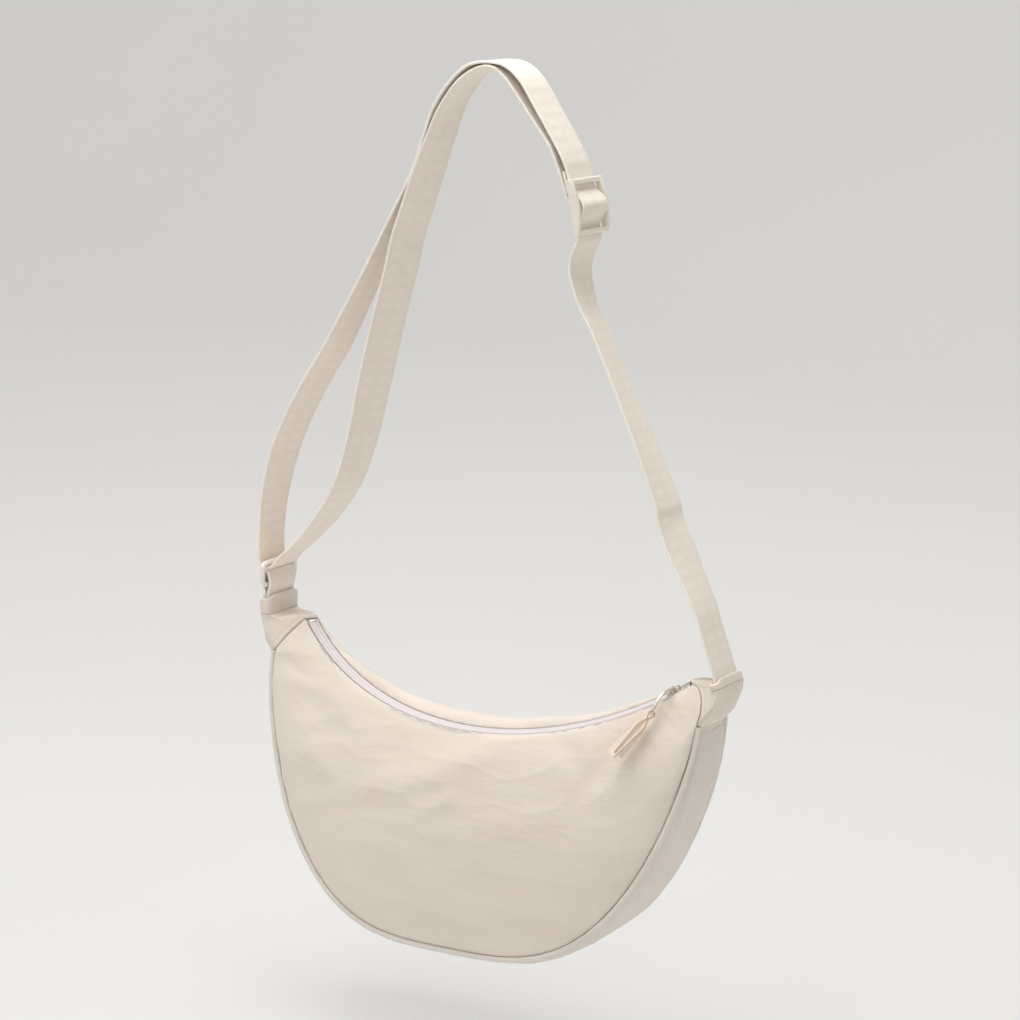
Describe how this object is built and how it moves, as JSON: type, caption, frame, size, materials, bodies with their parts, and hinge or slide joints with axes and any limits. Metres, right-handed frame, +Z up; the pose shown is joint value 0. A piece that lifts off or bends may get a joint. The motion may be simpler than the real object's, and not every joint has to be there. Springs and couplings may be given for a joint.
{
  "type": "shoulder bag",
  "caption": "Half-moon shoulder bag of soft nylon with a curved zip, hung from an adjustable webbing strap with a ring and a slide adjuster.",
  "frame": {"origin": "hang point: the underside of the strap's crest, midway across the webbing", "axes": "+X from the ring side to the slider side, +Y from the front of the bag to its back, +Z up along the hanging direction"},
  "size_m": [0.3142, 0.093, 0.5023],
  "materials": {
    "body_cloth": "padded plain-weave nylon, lightly crinkled",
    "gusset_cloth": "plain-weave nylon",
    "lining": "smooth lining cloth",
    "piping": "bias-cut cloth over a round cord",
    "webbing": "close-woven ribbed webbing",
    "zip_tape": "knitted zip tape",
    "zip_coil": "nylon coil",
    "zip_metal": "nickel-plated, bright",
    "ribbon": "ribbed ribbon with raw ends",
    "buckle": "moulded, satin gloss"
  },
  "bodies": {
    "strap": {"strap_lower_run": "webbing", "strap_lower_feed": "webbing", "strap_outer_layer": "webbing", "strap_outer_feed": "webbing", "strap_inner_layer": "webbing", "strap_inner_feed": "webbing"},
    "bag": {"front_panel": "body_cloth", "back_panel": "body_cloth", "gusset": "gusset_cloth", "left_gusset_patch": "body_cloth", "right_gusset_patch": "body_cloth", "front_piping": "piping", "back_piping": "piping", "left_horn_cap": "body_cloth", "right_horn_cap": "body_cloth", "left_sleeve": "body_cloth", "right_sleeve": "body_cloth", "front_lining": "lining", "back_lining": "lining", "gusset_lining": "lining", "slip_pocket": "lining", "zip_tape_front": "zip_tape", "zip_tape_back": "zip_tape", "zip_coil_front": "zip_coil", "zip_coil_back": "zip_coil", "zip_top_stop": "zip_metal", "zip_bottom_stop": "zip_metal", "tab_webbing": "webbing", "strap_horn_end": "webbing", "strap_ring_fold": "webbing"},
    "ring": {"ring": "buckle"},
    "adjuster": {"strap_adjuster": "buckle", "strap_weave": "webbing", "strap_sewn_end": "webbing"},
    "slider": {"zip_slider": "zip_metal"},
    "wire": {"puller_wire": "zip_metal"},
    "ribbon": {"puller_ribbon": "ribbon"}
  },
  "joints": [
    {"name": "bag_swing", "type": "hinge", "parent": "strap", "child": "bag", "pos_m": [0, 0, -0.2963], "axis": [1, 0, 0], "range_deg": [-12, 12]},
    {"name": "ring_tilt", "type": "hinge", "parent": "bag", "child": "ring", "pos_m": [-0.15795, 0, -0.3075], "axis": [0, 1, 0], "range_deg": [-8, 8]},
    {"name": "adjuster_slide", "type": "slide", "parent": "strap", "child": "adjuster", "axis": [-0.5319, 0, 0.8468], "range_m": [-0.015, 0.028], "deforming": ["strap_lower_feed", "strap_outer_feed", "strap_inner_feed"]},
    {"name": "zip_travel", "type": "hinge", "parent": "bag", "child": "slider", "pos_m": [-0.00495, 0.09462, -0.22291], "axis": [0, 0.7431, -0.6691], "range_deg": [0, 64], "deforming": ["zip_coil_front", "zip_coil_back"]},
    {"name": "puller_swing", "type": "hinge", "parent": "slider", "child": "wire", "pos_m": [0.11636, -0.00448, -0.33045], "axis": [-0.5902, 0.7622, -0.2662], "range_deg": [0, 100]},
    {"name": "ribbon_swing", "type": "hinge", "parent": "wire", "child": "ribbon", "pos_m": [0.11295, -0.02363, -0.34059], "axis": [-0.5902, 0.7622, -0.2662], "range_deg": [0, 75]}
  ]
}
